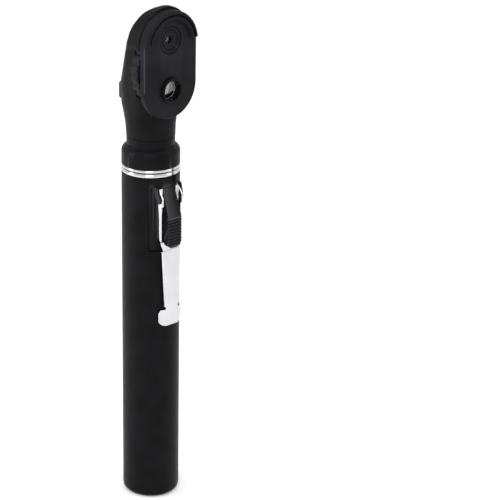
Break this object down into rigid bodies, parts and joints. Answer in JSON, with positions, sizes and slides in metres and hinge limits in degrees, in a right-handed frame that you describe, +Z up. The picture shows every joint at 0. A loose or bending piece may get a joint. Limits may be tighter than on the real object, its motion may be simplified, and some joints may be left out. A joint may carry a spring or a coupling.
{
  "type": "ophthalmoscope",
  "caption": "Pen-style pocket ophthalmoscope with a battery handle, pocket clip, slide switch, lens wheel and aperture wheel; the head twists off on a bayonet.",
  "frame": {"origin": "centre of the handle's flat base, on the handle's axis", "axes": "+Z up the handle to the head; the examiner's side, with the clip, switch and sight hole, faces -Y"},
  "size_m": [0.0234, 0.0239, 0.17],
  "materials": {
    "tube_black": "satin, finely textured",
    "collar_black": "satin",
    "chrome": "polished",
    "head_black": "satin, finely textured",
    "plate_grey": "matt",
    "switch_plastic": "matt",
    "wheel_black": "satin",
    "brass": "bright",
    "steel": "bright",
    "cell_sleeve": "glossy sleeve",
    "insulator": "laminate",
    "optic_black": "flat black",
    "glass": "polished",
    "green_glass": "polished",
    "mirror": "polished",
    "scale_white": "printed white"
  },
  "bodies": {
    "handle": {"handle_tube": "tube_black", "ring_lower": "chrome", "bayonet_socket": "brass", "switch_carrier": "switch_plastic", "switch_leaf": "brass", "clip_bracket": "chrome", "clip_rivets": "chrome", "battery_spring": "steel", "battery_lower": "cell_sleeve", "battery_upper": "cell_sleeve", "contact_disc": "insulator", "centre_contact": "brass"},
    "switch": {"switch_slider": "switch_plastic", "slider_contact": "brass"},
    "clip": {"clip_arm": "chrome"},
    "lens_wheel": {"lens_disc": "wheel_black", "disc_lenses": "glass", "dioptre_scale": "scale_white"},
    "selector": {"aperture_wheel": "wheel_black", "green_filter": "green_glass"},
    "head": {"collar": "collar_black", "neck_sleeve": "collar_black", "ring_upper": "chrome", "front_housing": "head_black", "rear_housing": "head_black", "patient_bezel": "head_black", "window_bezel": "head_black", "face_plate": "plate_grey", "brow_rest": "plate_grey", "sight_insert": "plate_grey", "lamp_base": "brass", "wheel_axle": "steel", "selector_axle": "steel", "detent_spring": "steel", "detent_ball": "steel", "housing_screws": "steel", "lamp_holder": "steel", "lamp_filament": "steel", "optic_tube": "optic_black", "objective_tube": "optic_black", "lens_retainer": "optic_black", "mirror_mount": "optic_black", "lamp_glass": "glass", "condenser_lens": "glass", "objective_lens": "glass", "patient_window": "glass", "eye_window": "glass", "window_lens": "glass", "head_mirror": "mirror"}
  },
  "joints": [
    {"name": "head_twist", "type": "hinge", "parent": "handle", "child": "head", "pos_m": [0, 0, 0.1165], "axis": [0, 0, 1], "range_deg": [0, 40]},
    {"name": "switch_slide", "type": "slide", "parent": "handle", "child": "switch", "axis": [0, 0, 1], "range_m": [0, 0.003]},
    {"name": "clip_flex", "type": "hinge", "parent": "handle", "child": "clip", "pos_m": [0, -0.01045, 0.09035], "axis": [-1, 0, 0], "range_deg": [0, 4], "stiffness_Nm_per_rad": 0.3},
    {"name": "lens_wheel_spin", "type": "hinge", "parent": "head", "child": "lens_wheel", "pos_m": [0, 0, 0.15], "axis": [0, 1, 0], "continuous": true},
    {"name": "selector_spin", "type": "hinge", "parent": "head", "child": "selector", "pos_m": [0, 0.005, 0.1408], "axis": [0, 0, 1], "continuous": true}
  ]
}
